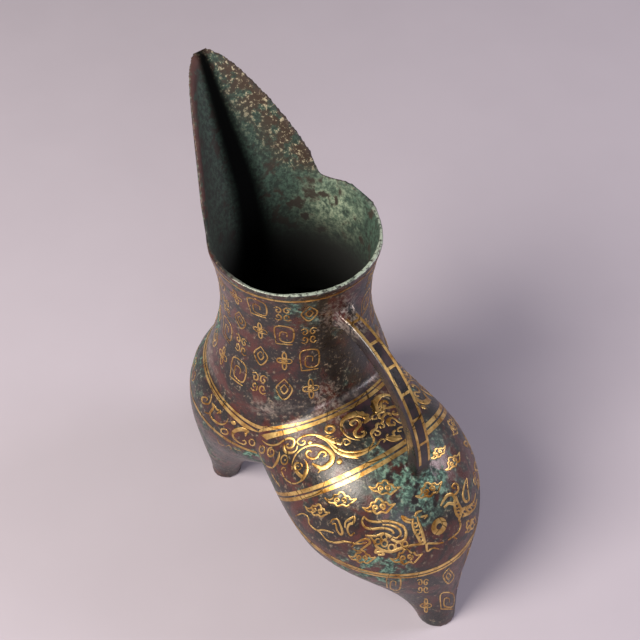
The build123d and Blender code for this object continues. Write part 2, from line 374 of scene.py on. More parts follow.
CRUST_ROUGHNESS = 0.78
CHANNEL_ROUGHNESS = 1.0
SKIN_SPECULAR = 0.5
CHANNEL_SPECULAR = 0.05
SKIN_IOR = 1.7
PIT_DEPTH = 0.4 * MM
PIT_STRENGTH = 0.35
WAVE_DEPTH = 0.6 * MM
WAVE_STRENGTH = 0.3


def linear(hex_colour):
    """sRGB hex to linear colour with full alpha."""
    shares = [int(hex_colour[i:i + 2], 16) / 255 for i in (1, 3, 5)]
    return [s / 12.92 if s <= 0.04045 else ((s + 0.055) / 1.055) ** 2.4 for s in shares] + [1]


def add(tree, kind, inputs=None, **settings):
    """Adds a node: its settings, then its inputs, each a value or a socket to link."""
    made = tree.nodes.new(kind)
    for key, value in settings.items():
        setattr(made, key, value)
    for key, value in (inputs or {}).items():
        if isinstance(value, bpy.types.NodeSocket):
            tree.links.new(value, made.inputs[key])
        else:
            made.inputs[key].default_value = value
    return made


def per_metre(size_in_mm):
    """Texture scale for a pattern of that size."""
    return 1000 / size_in_mm


def new_material(name):
    """An empty node material and its tree."""
    made = bpy.data.materials.new(name)
    made.use_nodes = True
    made.node_tree.nodes.clear()
    return made, made.node_tree


def patinated_bronze():
    """Cast tin bronze, long buried: a dark glossy skin, cuprite red below it, malachite green over it.

    The skin is mineral and has a mineral's IOR; bare metal shows only where the skin is worn off."""
    made, tree = new_material("patinated_bronze")
    place = add(tree, "ShaderNodeTexCoord").outputs["Object"]
    share = {"side": add(tree, "ShaderNodeSeparateXYZ", {0: place}).outputs["Y"]}
    for name in skins:
        share[name] = add(tree, "ShaderNodeAttribute", attribute_name=name).outputs["Fac"]
    for name, (size, detail, roughness, distortion) in GRAINS.items():
        share[name] = add(tree, "ShaderNodeTexNoise", {
            "Vector": place, "Scale": per_metre(size), "Detail": detail, "Roughness": roughness,
            "Distortion": distortion}).outputs["Fac"]
    for name, (grain, none, full) in SPREADS.items():
        share[name] = add(tree, "ShaderNodeMapRange", {
            "Value": share[grain], "From Min": none, "From Max": full},
            interpolation_type="SMOOTHSTEP").outputs["Result"]
    for name, (operation, *parts) in MEETINGS.items():
        first, second = [share.get(part, part) for part in parts]
        share[name] = add(tree, "ShaderNodeMath", {0: first, 1: second}, operation=operation).outputs[0]
    colour = {}
    for name, (where, *tones) in LAYERS.items():
        under, over = [colour[tone] if tone in colour else linear(tone) for tone in tones]
        colour[name] = add(tree, "ShaderNodeMix", {
            "Factor": share[where], 6: under, 7: over}, data_type="RGBA").outputs[2]
    metal = add(tree, "ShaderNodeMix", {
        "Factor": share["worn"], 2: SKIN_METALLIC, 3: WORN_METALLIC}, data_type="FLOAT").outputs[0]
    gloss = add(tree, "ShaderNodeMapRange", {
        "Value": share["mottle"], "From Min": GLOSS_MOTTLE[0], "From Max": GLOSS_MOTTLE[1],
        "To Min": GLOSSY_ROUGHNESS, "To Max": SATIN_ROUGHNESS}).outputs[0]
    gloss = add(tree, "ShaderNodeMix", {
        "Factor": share["dull"], 2: gloss, 3: CRUST_ROUGHNESS}, data_type="FLOAT").outputs[0]
    # Where the channel's shade is painted, the skin is also made fully rough and barely specular, so it
    # stays black.
    gloss = add(tree, "ShaderNodeMix", {
        "Factor": share["painted_channel_shade"], 2: gloss, 3: CHANNEL_ROUGHNESS}, data_type="FLOAT").outputs[0]
    sheen = add(tree, "ShaderNodeMix", {
        "Factor": share["painted_channel_shade"], 2: SKIN_SPECULAR, 3: CHANNEL_SPECULAR}, data_type="FLOAT").outputs[0]
    pits = add(tree, "ShaderNodeBump", {
        "Height": share["specks"], "Strength": PIT_STRENGTH, "Distance": PIT_DEPTH}).outputs[0]
    waves = add(tree, "ShaderNodeBump", {
        "Height": share["mottle"], "Strength": WAVE_STRENGTH, "Distance": WAVE_DEPTH,
        "Normal": pits}).outputs[0]
    shader = add(tree, "ShaderNodeBsdfPrincipled", {
        "Base Color": colour["worn_skin"], "Metallic": metal, "Roughness": gloss, "Normal": waves,
        "IOR": SKIN_IOR, "Specular IOR Level": sheen})
    add(tree, "ShaderNodeOutputMaterial", {"Surface": shader.outputs[0]})
    return made


body.data.materials.clear()
body.data.materials.append(patinated_bronze())
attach(body, "root")
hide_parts(*BODY_NODES)

# Gold lines: narrow strips hammered into grooves round the rim, the collar, the band and the hems,
# a ladder along the handle and a pierced disc. Each strip is laid in short lengths, butted end to end.
GOLD_TONE_MM = 9
GOLD_DIRT_MM = 2.5
STRIP_LENGTH_MM = 17
GOLD_DARK = "#996a2e"
GOLD_BRIGHT = "#eac680"
GOLD_SOILED = "#5a3a18"
GOLD_BUTT = "#2a1a0e"
GOLD_TONE_SPREAD = (0.34, 0.62)
SOILED_SPREAD = (0.57, 0.72)
BUTT_SPREAD = (0.006, 0.013)
BUTT_SHARE = 0.8
RUBBED_SPREAD = (0.3, 0.7)
RUBBED_ROUGHNESS = 0.28
SOILED_ROUGHNESS = 0.46
DENT_DEPTH = 0.3 * MM
DENT_STRENGTH = 0.3


def burnished_gold():
    """Soft gold strip, burnished by hand: bright where it is rubbed, brown where dirt stays on it."""
    made, tree = new_material("burnished_gold")
    place = add(tree, "ShaderNodeTexCoord").outputs["Object"]
    tone = add(tree, "ShaderNodeTexNoise", {
        "Vector": place, "Scale": per_metre(GOLD_TONE_MM), "Detail": 5, "Roughness": 0.6}).outputs["Fac"]
    dirt = add(tree, "ShaderNodeTexNoise", {
        "Vector": place, "Scale": per_metre(GOLD_DIRT_MM), "Detail": 6, "Roughness": 0.7}).outputs["Fac"]
    butts = add(tree, "ShaderNodeTexVoronoi", {
        "Vector": place, "Scale": per_metre(STRIP_LENGTH_MM)}, feature="DISTANCE_TO_EDGE").outputs[0]
    ramp = add(tree, "ShaderNodeValToRGB", {"Fac": tone})
    for stop, share, tint in zip(ramp.color_ramp.elements, GOLD_TONE_SPREAD, (GOLD_DARK, GOLD_BRIGHT)):
        stop.position = share
        stop.color = linear(tint)
    soiled = add(tree, "ShaderNodeMapRange", {
        "Value": dirt, "From Min": SOILED_SPREAD[0], "From Max": SOILED_SPREAD[1]}).outputs[0]
    colour = add(tree, "ShaderNodeMix", {
        "Factor": soiled, 6: ramp.outputs[0], 7: linear(GOLD_SOILED)}, data_type="RGBA").outputs[2]
    gap = add(tree, "ShaderNodeMapRange", {
        "Value": butts, "From Min": BUTT_SPREAD[0], "From Max": BUTT_SPREAD[1],
        "To Min": BUTT_SHARE, "To Max": 0}).outputs[0]
    colour = add(tree, "ShaderNodeMix", {
        "Factor": gap, 6: colour, 7: linear(GOLD_BUTT)}, data_type="RGBA").outputs[2]
    gloss = add(tree, "ShaderNodeMapRange", {
        "Value": dirt, "From Min": RUBBED_SPREAD[0], "From Max": RUBBED_SPREAD[1],
        "To Min": RUBBED_ROUGHNESS, "To Max": SOILED_ROUGHNESS}).outputs[0]
    dents = add(tree, "ShaderNodeBump", {
        "Height": dirt, "Strength": DENT_STRENGTH, "Distance": DENT_DEPTH}).outputs[0]
    shader = add(tree, "ShaderNodeBsdfPrincipled", {
        "Base Color": colour, "Metallic": 1, "Roughness": gloss, "Normal": dents})
    add(tree, "ShaderNodeOutputMaterial", {"Surface": shader.outputs[0]})
    return made


gold = burnished_gold()
for name in GOLD_NODES:
    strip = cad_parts[name]
    strip.data.materials.clear()
    strip.data.materials.append(gold)

# Shoulder scrolls: vines, curls and petals of gold between the collar and the band of the rear leg.
# Each stroke is a strip of gold hammered into a cut groove and burnished, so it swells and tapers,
# and lies a hair proud of the bronze. Strokes are given by half widths in mm and photo pixels.
EYE = Vector((357.85, -287.1, 682.9)) * MM
AIM = Vector((-22.75, 10.2, 136.0)) * MM
FIELD_OF_VIEW = math.radians(27)
PHOTO_SIDE = 640
FOCAL_PIXELS = PHOTO_SIDE / 2 / math.tan(FIELD_OF_VIEW / 2)
PIXEL_MM = 0.55
STROKE_STEP = 1.0
LARGEST_GAP = 3.0 * MM
FEWEST_PLACES = 3
STROKE_DOME = 0.16
STROKE_LIFT = 0.05 * MM
STROKE_BOLDNESS = 1.2
STROKE_SIDES = 8
RING_KNOTS = 13
DOT_REACH = 0.98
DOT_WIDTHS = 9
VIEW_TURN = (AIM - EYE).to_track_quat("-Z", "Y")
bronze_skin = BVHTree.FromObject(body, bpy.context.evaluated_depsgraph_get())


def seen(across, down):
    """Place on the bronze behind a photo pixel, and the way the bronze faces there."""
    ray = VIEW_TURN @ Vector((across - PHOTO_SIDE / 2, PHOTO_SIDE / 2 - down, -FOCAL_PIXELS))
    place, way, _, _ = bronze_skin.ray_cast(EYE, ray.normalized())
    return place, way


def smooth_line(knots, step):
    """Points on a smooth curve through the knots, about a step apart."""
    knots = np.array(knots, float)
    line = []
    ends = np.vstack([2 * knots[0] - knots[1], knots, 2 * knots[-1] - knots[-2]])
    for before, start, end, after in zip(ends, ends[1:], ends[2:], ends[3:]):
        bend = 2 * before - 5 * start + 4 * end - after
        twist = 3 * start - before - 3 * end + after
        pull = [2 * start, end - before, bend, twist]
        steps = max(2, round(np.linalg.norm(end - start) / step))
        for share in np.linspace(0, 1, steps, endpoint=False):
            line.append(sum(part * share ** power for power, part in enumerate(pull)) / 2)
    return np.array(line + [knots[-1]])


def laid(half_widths, line, find):
    """Runs of (place, facing, half width) of a line on the bronze, parted where it would leap a gap."""
    runs = [[]]
    halves = np.interp(np.linspace(0, 1, len(line)), np.linspace(0, 1, len(half_widths)), half_widths)
    halves *= STROKE_BOLDNESS * MM
    for point, half in zip(line, halves):
        place, way = find(*point)
        if place is None or runs[-1] and (place - runs[-1][-1][0]).length > LARGEST_GAP:
            runs.append([])
        if place is not None:
            runs[-1].append((place + way * STROKE_LIFT, way, half))
    return [run for run in runs if len(run) >= FEWEST_PLACES]


def drawn(strokes):
    """Runs of strokes that are given as half widths and photo pixels."""
    return [run for halves, knots in strokes for run in laid(halves, smooth_line(knots, STROKE_STEP), seen)]


def ring_stroke(centre, across, down, half_width):
    """Stroke round an oval, sizes in pixels."""
    turns = np.linspace(0, 2 * math.pi, RING_KNOTS)
    return [half_width], np.array(centre) + np.stack([across * np.cos(turns), down * np.sin(turns)], 1)


def dot_stroke(centre, radius_mm):
    """Short stroke as wide as it is long."""
    reach = np.array([radius_mm / PIXEL_MM, 0])
    halves = [radius_mm * math.sqrt(1 - s * s) for s in np.linspace(-DOT_REACH, DOT_REACH, DOT_WIDTHS)]
    return halves, np.array([np.array(centre) - reach, centre, np.array(centre) + reach])


def far_side(runs, least):
    """The same strokes on the other side of the vessel, for those that lie at least so far out."""
    twins = []
    for run in runs:
        if min(-place.y for place, _, _ in run) > least:
            twin = []
            for place, _, half in run:
                spot, way, _, _ = bronze_skin.find_nearest((place.x, -place.y, place.z))
                twin.append((spot + way * STROKE_LIFT, way, half))
            twins.append(twin)
    return twins


def gold_stroke_tree():
    """Domed strip along each line, as wide as the line's points say and lying flat on the bronze."""
    tree = bpy.data.node_groups.new("gold_stroke", "GeometryNodeTree")
    tree.interface.new_socket("Lines", in_out="INPUT", socket_type="NodeSocketGeometry")
    sides = tree.interface.new_socket("Sides", in_out="INPUT", socket_type="NodeSocketInt")
    dome = tree.interface.new_socket("Dome", in_out="INPUT", socket_type="NodeSocketFloat")
    tree.interface.new_socket("Strokes", in_out="OUTPUT", socket_type="NodeSocketGeometry")
    given = add(tree, "NodeGroupInput").outputs
    width = add(tree, "GeometryNodeInputNamedAttribute", {
        "Name": "half_width"}, data_type="FLOAT").outputs[0]
    way = add(tree, "GeometryNodeInputNamedAttribute", {
        "Name": "facing"}, data_type="FLOAT_VECTOR").outputs[0]
    line = add(tree, "GeometryNodeMeshToCurve", {"Mesh": given["Lines"]}).outputs[0]
    line = add(tree, "GeometryNodeSetCurveNormal", {"Curve": line, "Normal": way}, mode="FREE").outputs[0]
    section = add(tree, "GeometryNodeCurvePrimitiveCircle", {
        "Resolution": given["Sides"], "Radius": 1.0}).outputs[0]
    squash = add(tree, "ShaderNodeCombineXYZ", {0: given["Dome"], 1: 1.0, 2: 1.0}).outputs[0]
    section = add(tree, "GeometryNodeTransform", {"Geometry": section, "Scale": squash}).outputs[0]
    strip = add(tree, "GeometryNodeCurveToMesh", {
        "Curve": line, "Profile Curve": section, "Scale": width, "Fill Caps": True}).outputs[0]
    strip = add(tree, "GeometryNodeSetShadeSmooth", {"Geometry": strip}).outputs[0]
    strip = add(tree, "GeometryNodeRealizeInstances", {"Geometry": strip}).outputs[0]
    strip = add(tree, "GeometryNodeSetMaterial", {"Geometry": strip, "Material": gold}).outputs[0]
    add(tree, "NodeGroupOutput", {"Strokes": strip})
    return tree, {sides.identifier: STROKE_SIDES, dome.identifier: STROKE_DOME}


gold_stroke, gold_stroke_sizes = gold_stroke_tree()


def inlay(piece, runs):
    """One piece of gold work from its runs."""
    mesh = bpy.data.meshes.new(piece)
    dots = [dot for run in runs for dot in run]
    last = set(np.cumsum([len(run) for run in runs]) - 1)
    mesh.from_pydata([dot[0] for dot in dots], [(i, i + 1) for i in range(len(dots)) if i not in last], [])
    halves = mesh.attributes.new("half_width", "FLOAT", "POINT")
    halves.data.foreach_set("value", [dot[2] for dot in dots])
    ways = mesh.attributes.new("facing", "FLOAT_VECTOR", "POINT")
    ways.data.foreach_set("vector", [part for dot in dots for part in dot[1]])
    made = bpy.data.objects.new(piece, mesh)
    bpy.context.scene.collection.objects.link(made)
    strokes = made.modifiers.new("strokes", "NODES")
    strokes.node_group = gold_stroke
    for socket, size in gold_stroke_sizes.items():
        strokes[socket] = size
    settle(made)
    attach(made, "root")


SCROLL_STROKES = {
    "vine": ([0.4, 0.55, 0.55, 0.6, 0.6, 0.6, 0.55, 0.5, 0.4], [
        (302, 434), (304.5, 433.5), (305, 436.5), (302, 439), (298.5, 437.5), (297, 434), (299.5, 430),
        (305, 427), (312, 426.5), (320.5, 429), (328.5, 435.5), (335.5, 444.5), (343, 450.5), (352, 453),
        (361, 452.5), (368.5, 449.5), (373, 443.5), (374, 438), (371.5, 433), (371, 429), (373, 426.5),
        (376.5, 427), (380, 430), (379, 433.5), (376, 433.5), (375, 431)]),
    "vine_leaf": ([0.3, 0.5, 0.7, 1.2, 1.4, 1.0, 0.6, 0.5, 0.4], [
        (316.5, 429), (325.5, 435), (331.5, 443), (336.5, 450.5), (344, 455.5), (352, 458), (361, 456.5),
        (369.5, 452), (376.5, 446.5), (379.5, 441), (382.5, 439), (385, 441), (383.5, 443.5)]),
    "leaf_tip": ([0.3, 1.3, 0.15], [(346, 455), (353, 459), (358.5, 462)]),
    "branch": ([0.3, 1.0, 1.1, 0.8, 0.6, 0.5, 0.4, 0.4], [
        (320.5, 429), (328.5, 434), (335.5, 439), (341, 441.5), (342.5, 438.5), (343.5, 436), (346.5, 435),
        (349.5, 437.5), (350, 441), (346.5, 443), (344.5, 441), (345.5, 439)]),
    "barb_1": ([0.5, 0.1], [(325, 430), (330.5, 428.5)]),
    "barb_2": ([0.5, 0.1], [(328, 432), (333.5, 430.5)]),
    "barb_3": ([0.5, 0.1], [(331, 434.5), (336.5, 433)]),
    "barb_4": ([0.5, 0.1], [(334, 436.5), (339, 435.5)]),
    "big_loop": ([0.3, 0.4, 0.5, 0.6, 0.8, 1.1, 1.6, 1.8, 1.5, 0.6], [
        (292, 470), (292.5, 460.5), (295, 452.5), (300, 445.5), (307, 441), (315.5, 440), (323.5, 443.5),
        (329.5, 449.5), (332.5, 456.5), (331.5, 463.5), (326.5, 469), (321.5, 471), (316.5, 468),
        (312, 464)]),
    "loop_spur": ([1.5, 0.2], [(321.5, 471), (318, 477)]),
    "loop_curls": ([0.5, 0.8, 0.7, 0.65, 0.7, 0.8, 0.5], [
        (311.5, 449.5), (310, 447), (307, 448), (306, 452), (308.5, 456), (313.5, 458), (317.5, 456),
        (319, 452), (321.5, 449.5), (325, 450.5), (326, 454), (323.5, 456)]),
    "petal_spiral": ([0.25, 0.3, 0.4, 0.5, 0.8, 1.0, 1.2], [
        (299, 467), (297, 465.5), (295.5, 467.5), (297, 470.5), (300, 470), (302, 466.5), (300, 462.5),
        (296.5, 462), (294.5, 465), (295, 470.5), (298.5, 476), (302.5, 481)]),
    "petal": ([0.1, 0.7, 1.1, 1.4, 1.0, 0.4], [
        (304, 457.5), (306.5, 463.5), (307, 471), (305.5, 477), (303, 483), (300, 486.5)]),
    "petal_tail": ([0.4, 0.35, 0.4, 0.3], [
        (300, 486.5), (295, 488.5), (290, 486.5), (285, 481), (282.5, 475), (281.5, 470), (283, 466.5),
        (285.5, 468), (285, 471)]),
    "volute": ([0.3, 0.5, 0.5, 0.6, 0.9, 0.7, 0.4], [
        (262, 429), (266.5, 434), (272.5, 436.5), (278.5, 435.5), (283.5, 431.5), (289, 429),
        (293.5, 431.5), (294, 437), (291, 441.5), (287, 441), (286, 438), (288.5, 436)]),
    "volute_hook": ([0.9, 0.9, 0.6, 0.3], [
        (285, 437), (284, 442), (286.5, 447), (292, 448), (296, 445), (297.5, 439.5)]),
    "small_petal_spiral": ([0.25, 0.35, 0.5, 0.6, 0.6, 0.4], [
        (271, 446), (270, 443.5), (272, 441.5), (274, 445), (273, 449.5), (269.5, 450.5), (267.5, 446.5),
        (269, 440.5), (272, 439)]),
    "small_petal": ([0.15, 0.7, 0.9, 0.8, 0.3], [
        (279.5, 445.5), (279, 452), (277, 458.5), (274.5, 463), (272.5, 466)]),
    "small_petal_edge": ([0.5, 0.35, 0.4, 0.4], [(259.5, 445.5), (262, 455), (267, 463), (272.5, 466)]),
    "crease_leaf": ([0.2, 0.4, 0.5, 0.2], [(271, 470), (273, 477), (277, 485), (280, 491)]),
    "crest_loop": ([0.2, 0.4, 0.5, 0.6, 0.8, 1.1, 1.6, 1.9, 1.8, 1.3, 0.5], [
        (360, 438.5), (353, 436), (346, 430.5), (342, 423), (341.5, 415.5), (344.5, 409.5), (349.5, 406),
        (356, 404.5), (363, 406.5), (367, 411), (365.5, 415), (362, 415.5)]),
    "crest_curls": ([0.5, 0.8, 0.8, 0.8, 0.9, 0.8, 0.8, 0.5], [
        (353.5, 419), (350.5, 416), (352, 412.5), (356, 411), (359.5, 414), (359.5, 419.5), (356.5, 424),
        (354.5, 428.5), (356.5, 433), (361, 434), (365, 431), (364.5, 427.5), (361, 427.5)]),
    "cloud_curl_1": ([0.7, 0.7, 0.7, 0.6, 0.4], [
        (371.5, 431), (374, 426.5), (376.5, 423.5), (376.5, 420), (379, 418.5), (383, 419.5), (384, 423),
        (381, 424.5), (380, 422)]),
    "cloud_curl_2": ([0.7, 0.8, 0.7, 0.6, 0.4], [
        (381.5, 418.5), (383, 414.5), (381.5, 412), (379, 410.5), (379, 407.5), (375.5, 405.5), (372, 408),
        (372.5, 411.5), (375.5, 412.5), (377, 410)]),
    "cloud_spiral": ([0.3, 0.4, 0.5, 0.6, 0.8, 0.9], [
        (382, 402), (380, 400.5), (382, 399), (384.5, 401), (384, 404.5), (380, 404.5), (377.5, 401.5),
        (378, 397.5), (382, 395.5), (386, 397)]),
    "cloud_branch": ([0.6, 0.9, 0.6], [(382, 411.5), (385, 407.5), (389.5, 406.5), (390.5, 410)]),
    "handle_hook": ([0.4, 0.7, 0.8, 0.7], [
        (393, 412), (389, 413), (387, 417), (389.5, 421.5), (394.5, 422)]),
    "foot_curl": ([0.4, 0.7, 0.7, 0.6], [
        (388, 433), (386.5, 435.5), (390, 437.5), (394, 435.5), (393, 431.5), (395.5, 429)]),
    "foot_swell": ([0.3, 1.3, 1.8, 1.4], [(385.5, 438.5), (391, 440.5), (396, 440), (401, 438)]),
}
SCROLL_RINGS = [((284.5, 456.5), 3.5, 5.9, 0.45), ((262, 441), 2.7, 4.7, 0.5), ((330, 421), 4.3, 4.5, 0.8)]
SCROLL_DOTS = [
    ((309.5, 436.5), 1.3), ((339.5, 464), 1.7), ((285, 457), 0.5), ((350.5, 404.5), 1.2),
    ((356, 402.5), 1.3), ((362, 403.5), 1.3), ((367, 407), 1.3), ((368.5, 412), 1.2),
]
SHOULDER_MIDDLE_DRAWN = ((300, 459), (400, 413.5))
SHOULDER_MIDDLE_LAID = ((300, 460.5), (400, 418))
SHOULDER_SQUEEZE = 0.77
SHOULDER_TWINS_FROM = 0


def between_lines(strokes, drawn_middle, laid_middle, squeeze):
    """Strokes moved from one sloping middle line to another and drawn in, clear of the lines beside it."""
    for halves, knots in strokes:
        knots = np.array(knots, float)
        before, after = [
            start[1] + (knots[:, 0] - start[0]) * (end[1] - start[1]) / (end[0] - start[0])
            for start, end in (drawn_middle, laid_middle)]
        knots[:, 1] = after + squeeze * (knots[:, 1] - before)
        yield np.multiply(halves, math.sqrt(squeeze)), knots


scroll_strokes = list(SCROLL_STROKES.values())
scroll_strokes += [ring_stroke(*ring) for ring in SCROLL_RINGS]
scroll_strokes += [dot_stroke(*dot) for dot in SCROLL_DOTS]
scrolls = drawn(between_lines(scroll_strokes, SHOULDER_MIDDLE_DRAWN, SHOULDER_MIDDLE_LAID, SHOULDER_SQUEEZE))
inlay("shoulder_scrolls", scrolls + far_side(scrolls, SHOULDER_TWINS_FROM))

# Clouds of the belly: small drifting clouds, each a wavy outline with pointed ends round two curls,
# laid in gold wire over the swell of the rear leg. A cloud's own shape is given in half lengths.
CLOUD_TOP = [
    (-1, 0.1), (-0.72, 0), (-0.5, 0.1), (-0.42, 0.3), (-0.2, 0.34), (-0.05, 0.52), (0.15, 0.48),
    (0.27, 0.3), (0.5, 0.27), (0.62, 0.1), (1, 0.16),
]
CLOUD_BASE = [
    (-1, 0.1), (-0.7, -0.17), (-0.4, -0.2), (-0.15, -0.36), (0.15, -0.26), (0.4, -0.34), (0.65, -0.14),
    (1, 0.16),
]
CLOUD_CURL_RADIUS = 0.2
CLOUD_CURL_START = 0.25
CLOUD_CURL_TURNS = 1.5
LEFT_CURL_AT = (-0.2, 0)
RIGHT_CURL_AT = (0.2, 0.04)
CLOUD_HALVES = [0.3, 0.5, 0.5, 0.5, 0.3]
CURL_EYE = 0.15
KNOTS_PER_TURN = 7
FEWEST_KNOTS = 4
BELLY_TWINS_FROM = 30 * MM


def curl_knots(centre, radius, start, turns):
    """Knots of a curl that opens from its eye, in turns of a circle; turns below 0 run the other way."""
    shares = np.linspace(CURL_EYE, 1, max(FEWEST_KNOTS, round(abs(turns) * KNOTS_PER_TURN)))
    angles = 2 * math.pi * (start + turns * shares)
    return np.array(centre) + radius * (shares * [np.cos(angles), np.sin(angles)]).T


LEFT_CURL = curl_knots(LEFT_CURL_AT, CLOUD_CURL_RADIUS, CLOUD_CURL_START, CLOUD_CURL_TURNS)
RIGHT_CURL = curl_knots(RIGHT_CURL_AT, CLOUD_CURL_RADIUS, CLOUD_CURL_START, -CLOUD_CURL_TURNS)


def cloud_strokes(centre, half_length, tilt):
    """Strokes of one cloud, in pixels, turned anticlockwise by a tilt in degrees."""
    turn = math.radians(tilt)
    along = np.array([math.cos(turn), -math.sin(turn)]) * half_length
    above = np.array([-math.sin(turn), -math.cos(turn)]) * half_length
    shapes = [CLOUD_TOP, CLOUD_BASE, LEFT_CURL, RIGHT_CURL]
    return [(CLOUD_HALVES, np.array(centre) + np.array(shape) @ [along, above]) for shape in shapes]


CLOUDS = {
    "drift": ((340.5, 500.5), 16.1, -4),
    "under_drift": ((379, 507.5), 16.8, 5),
    "handle_side": ((429.5, 490.5), 15.4, 27),
    "far_high": ((438.5, 453), 9.8, 38),
    "far_low": ((453.5, 462), 11.5, 50),
    "near_edge": ((317, 511), 12.9, -16),
    "handle_foot": ((384.5, 488.5), 15.7, -3),
    "hem": ((406.5, 558), 16.6, 6),
    "near_hem": ((362, 558), 13.8, -6),
    "far_hem": ((471, 525), 9.8, 57),
}
clouds = [run for cloud in CLOUDS.values() for run in drawn(cloud_strokes(*cloud))]
inlay("belly_clouds", clouds + far_side(clouds, BELLY_TWINS_FROM))

# Beasts of the belly: a winged beast with a scaled neck, a slim one behind it and a long-tailed bird,
# round the swell of the rear leg above its hem. Their outlines and scales are laid in gold wire.
BEAST_STROKES = {
    "wing": ([0.3, 0.5, 0.5, 0.5, 0.6, 0.5], [
        (364, 516.5), (368.5, 520.5), (377, 522), (386.5, 521), (396.5, 523), (404, 527.5), (406, 534),
        (403.5, 540.5), (396.5, 541.5), (391, 539)]),
    "wing_under": ([0.3, 0.5, 0.5, 0.4], [
        (364, 516.5), (362, 521.5), (365, 527), (372.5, 529), (382.5, 528), (391, 530), (394, 533.5)]),
    "wing_feather": ([0.3, 0.45, 0.45, 0.3], [
        (382.5, 524.5), (392, 525.5), (399.5, 530), (400.5, 535), (396.5, 538), (392.5, 537)]),
    "wing_spine": ([0.3, 0.5, 0.5, 0.6], [(365.5, 535.5), (375.5, 536), (384, 533.5), (391, 537)]),
    "back": ([0.3, 0.6, 0.7, 0.7, 0.5, 0.4, 0.3], [
        (370, 536.5), (374, 541.5), (377, 547), (384, 550.5), (392, 551.5), (400.5, 548.5), (410.5, 545.5),
        (421.5, 544), (428.5, 543.5), (437, 543.5), (443.5, 542.5)]),
    "chest": ([0.5, 0.6, 0.5, 0.3], [
        (420.5, 543), (418, 537), (414.5, 531), (412.5, 524), (413.5, 518.5)]),
    "nape": ([0.5, 0.6, 0.5, 0.3], [
        (425, 543), (423, 535.5), (420.5, 527), (418.5, 521.5), (417.5, 516.5)]),
    "jaw": ([0.3, 0.5, 0.5, 0.3], [(414, 519.5), (408.5, 519.5), (402, 516.5), (405, 521), (411, 523)]),
    "horn": ([0.4, 0.5, 0.2], [(415, 516.5), (417, 512.5), (422, 510.5)]),
    "ear": ([0.4, 0.4, 0.2], [(420.5, 517), (427.5, 515.5), (424, 519)]),
    "fore_leg": ([0.5, 0.4, 0.2], [(426.5, 544), (427.5, 551), (433, 548), (439, 549)]),
    "hind_leg": ([0.5, 0.6, 0.4], [
        (377, 548.5), (375.5, 552.5), (381.5, 552), (383.5, 554.5), (378, 555)]),
    "plume": ([0.2, 0.4, 0.5, 0.4, 0.3], [
        (330.5, 523), (332.5, 519.5), (337.5, 519.5), (340.5, 525.5), (342.5, 532.5), (340.5, 534.5),
        (337, 530), (335.5, 524), (332, 524)]),
    "second_plume": ([0.3, 0.4, 0.5, 0.4, 0.3], [
        (345, 527.5), (346, 521.5), (354.5, 517), (353, 523), (349, 524.5), (347.5, 530), (350.5, 535.5),
        (354.5, 532.5)]),
    "slim_back": ([0.2, 0.4, 0.5, 0.4, 0.2], [
        (312.5, 527), (320.5, 533), (327.5, 540.5), (336, 542.5), (343, 541.5), (350, 542.5), (358.5, 544),
        (367, 542.5)]),
    "slim_tail": ([0.2, 0.4, 0.4, 0.3], [
        (295.5, 516), (302.5, 513.5), (308, 517), (309.5, 524), (316.5, 530), (324, 530), (333.5, 533)]),
    "leaf_outline": ([0.2, 0.4, 0.5, 0.4, 0.2], [
        (351.5, 547), (358.5, 541.5), (367, 539), (370, 542.5), (364.5, 547), (358.5, 551), (352.5, 548.5)]),
    "bird_head": ([0.3, 0.6, 0.7, 0.6, 0.5], [
        (440.5, 506), (443.5, 500.5), (447, 495.5), (452, 494.5), (455, 499), (453.5, 503.5),
        (448.5, 503.5), (444, 507.5)]),
    "bird_crest": ([0.4, 0.5, 0.4, 0.3], [
        (454, 495.5), (458, 491), (458, 485.5), (454.5, 483.5), (452, 487), (455, 488.5)]),
    "bird_neck": ([0.4, 0.6, 0.6, 0.4], [(456, 496), (458, 503), (461.5, 510.5), (460.5, 517.5)]),
    "bird_breast": ([0.4, 0.6, 0.6, 0.4], [(454, 503.5), (455, 509.5), (457, 515), (460.5, 518)]),
    "bird_wing": ([0.4, 0.6, 0.5, 0.3], [(462, 509), (469.5, 506), (474, 500.5), (475.5, 493.5)]),
    "bird_wing_edge": ([0.4, 0.6, 0.5, 0.3], [(462.5, 516.5), (469.5, 513), (475, 507), (477, 499)]),
    "bird_plume": ([0.2, 0.5, 0.6, 0.5, 0.4, 0.3], [
        (466.5, 478), (464, 486.5), (463, 496), (465.5, 501.5), (469, 499.5), (468.5, 493.5),
        (467.5, 485.5), (467, 478.5)]),
    "bird_leg": ([0.6, 0.5, 0.4, 0.3], [
        (459, 518), (460.5, 525.5), (458.5, 531.5), (452.5, 537), (448, 540)]),
    "bird_claw": ([0.4, 0.2], [(453, 536.5), (457, 539)]),
}
BEAST_SCALES = [
    ((378, 541.5), 2.8), ((384, 537), 2.8), ((384.5, 543.5), 3.1), ((391.5, 547.5), 3.1),
    ((398.5, 545.5), 2.8), ((405, 544), 2.5), ((418, 532), 2.2), ((415.5, 525), 2.1), ((421, 539), 2.2),
    ((457, 506), 2.0), ((458.5, 512.5), 2.0), ((465, 511.5), 2.2), ((469.5, 509.5), 2.0),
    ((473.5, 504), 1.8),
]
SCALE_HALF_WIDTH = 0.4
BEAST_BOLDNESS = 1.25
beasts = drawn((np.multiply(halves, BEAST_BOLDNESS), knots) for halves, knots in BEAST_STROKES.values())
beasts += drawn(ring_stroke(centre, radius, radius, SCALE_HALF_WIDTH) for centre, radius in BEAST_SCALES)
inlay("belly_beasts", beasts + far_side(beasts, BELLY_TWINS_FROM))

